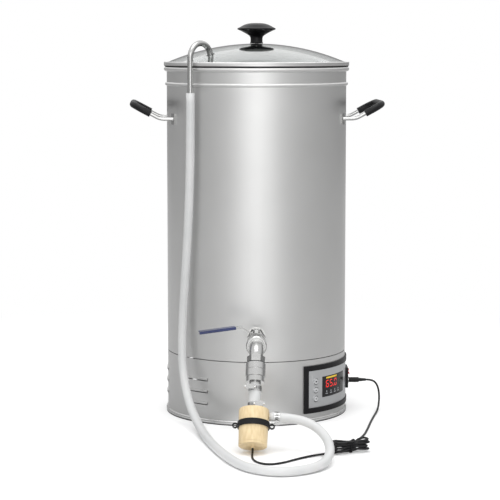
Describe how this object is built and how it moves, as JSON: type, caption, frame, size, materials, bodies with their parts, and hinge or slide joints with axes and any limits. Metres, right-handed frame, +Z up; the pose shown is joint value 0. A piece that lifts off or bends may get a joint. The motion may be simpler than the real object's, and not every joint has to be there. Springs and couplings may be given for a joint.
{
  "type": "electric all in one brewer",
  "caption": "Upright stainless electric brewing kettle with glass lid, side handles, ball-valve tap, recirculation pump, hose and control panel.",
  "frame": {"origin": "centre of the rubber standing ring, on the surface the brewer stands on", "axes": "+Z up, the tap points to the front along -Y, the control panel's socket faces +X"},
  "size_m": [0.4544, 0.708, 0.6958],
  "materials": {
    "brushed_steel": "satin, brushed",
    "rolled_steel": "satin",
    "polished_steel": "polished",
    "aluminium": "cast",
    "element_sheath": "oxidised",
    "black_plastic": "satin moulded",
    "black_rubber": "matt",
    "cord_black": "satin sheath",
    "lid_glass": "clear toughened",
    "display_black": "gloss",
    "panel_silver": "satin printed",
    "button_silver": "satin",
    "red_plastic": "gloss",
    "pump_cream": "satin moulded",
    "impeller_black": "moulded",
    "blue_vinyl": "dipped vinyl",
    "clear_silicone": "milky translucent",
    "white_silicone": "matt",
    "circuit_board": "solder mask",
    "supply_case": "moulded"
  },
  "bodies": {
    "root": {"base_plate": "rolled_steel", "base_ring": "rolled_steel", "base_shell": "brushed_steel", "bulkhead_nipple": "polished_steel", "bulkhead_nuts": "polished_steel", "bulkhead_washers": "white_silicone", "control_board": "circuit_board", "coupler_gasket": "black_rubber", "display_window": "display_black", "handle_grips": "black_plastic", "handle_rods": "polished_steel", "heating_element": "element_sheath", "heating_plate": "aluminium", "hose_clamps": "polished_steel", "hose_tail": "polished_steel", "kettle_vessel": "brushed_steel", "mains_inlet": "black_plastic", "outlet_elbow": "polished_steel", "panel_bezel": "black_plastic", "panel_face": "panel_silver", "power_supply": "supply_case", "pump_band": "black_plastic", "pump_cord": "cord_black", "pump_cord_hank": "cord_black", "pump_cord_lead": "cord_black", "pump_end_cap": "pump_cream", "pump_head": "pump_cream", "pump_housing": "pump_cream", "pump_plug": "black_rubber", "pump_socket": "polished_steel", "pump_stator": "element_sheath", "quick_coupler": "polished_steel", "return_hose": "clear_silicone", "rubber_foot_ring": "black_rubber", "socket_plate": "black_plastic", "suction_tube": "clear_silicone", "switch_frame": "black_plastic", "temperature_probe": "polished_steel", "valve_body": "polished_steel", "valve_end_cap": "polished_steel", "valve_seats": "white_silicone"},
    "lid": {"lid_glass": "lid_glass", "lid_ring": "brushed_steel", "lid_gasket": "black_rubber", "lid_knob": "black_plastic", "knob_washer": "black_plastic", "knob_screw": "polished_steel", "recirculation_pipe": "polished_steel"},
    "tap_lever": {"valve_ball": "polished_steel", "valve_stem": "polished_steel", "valve_lever": "polished_steel", "lever_sleeve": "blue_vinyl", "lever_nut": "polished_steel"},
    "malt_basket": {"malt_pipe": "rolled_steel", "malt_sieves": "rolled_steel"},
    "pump_switch": {"pump_switch": "red_plastic"},
    "button_down": {"button_down": "button_silver"},
    "button_up": {"button_up": "button_silver"},
    "button_set": {"button_set": "button_silver"},
    "pump_impeller": {"pump_impeller": "impeller_black"}
  },
  "joints": [
    {"name": "lid_lift", "type": "slide", "parent": "root", "child": "lid", "axis": [0, 0, 1], "range_m": [0, 0.12]},
    {"name": "tap_turn", "type": "hinge", "parent": "root", "child": "tap_lever", "pos_m": [0, -0.245, 0.158], "axis": [0, 0, 1], "range_deg": [-12, 78]},
    {"name": "malt_lift", "type": "slide", "parent": "root", "child": "malt_basket", "axis": [0, 0, 1], "range_m": [0, 0.035]},
    {"name": "pump_switch_rock", "type": "hinge", "parent": "root", "child": "pump_switch", "pos_m": [0.1614, 0.00564, 0.0668], "axis": [0.0349, -0.9994, 0], "range_deg": [-18, 0]},
    {"name": "pump_impeller_spin", "type": "hinge", "parent": "root", "child": "pump_impeller", "pos_m": [0, -0.293, 0.158], "axis": [-0.0349, -0.4997, -0.8655], "continuous": true},
    {"name": "button_down_press", "type": "slide", "parent": "root", "child": "button_down", "axis": [-0.6455, 0.7638, 0], "range_m": [0, 0.001], "stiffness_N_per_m": 300, "springref_m": -0.001},
    {"name": "button_up_press", "type": "slide", "parent": "root", "child": "button_up", "axis": [-0.6455, 0.7638, 0], "range_m": [0, 0.001], "stiffness_N_per_m": 300, "springref_m": -0.001},
    {"name": "button_set_press", "type": "slide", "parent": "root", "child": "button_set", "axis": [-0.6455, 0.7638, 0], "range_m": [0, 0.001], "stiffness_N_per_m": 300, "springref_m": -0.001}
  ]
}
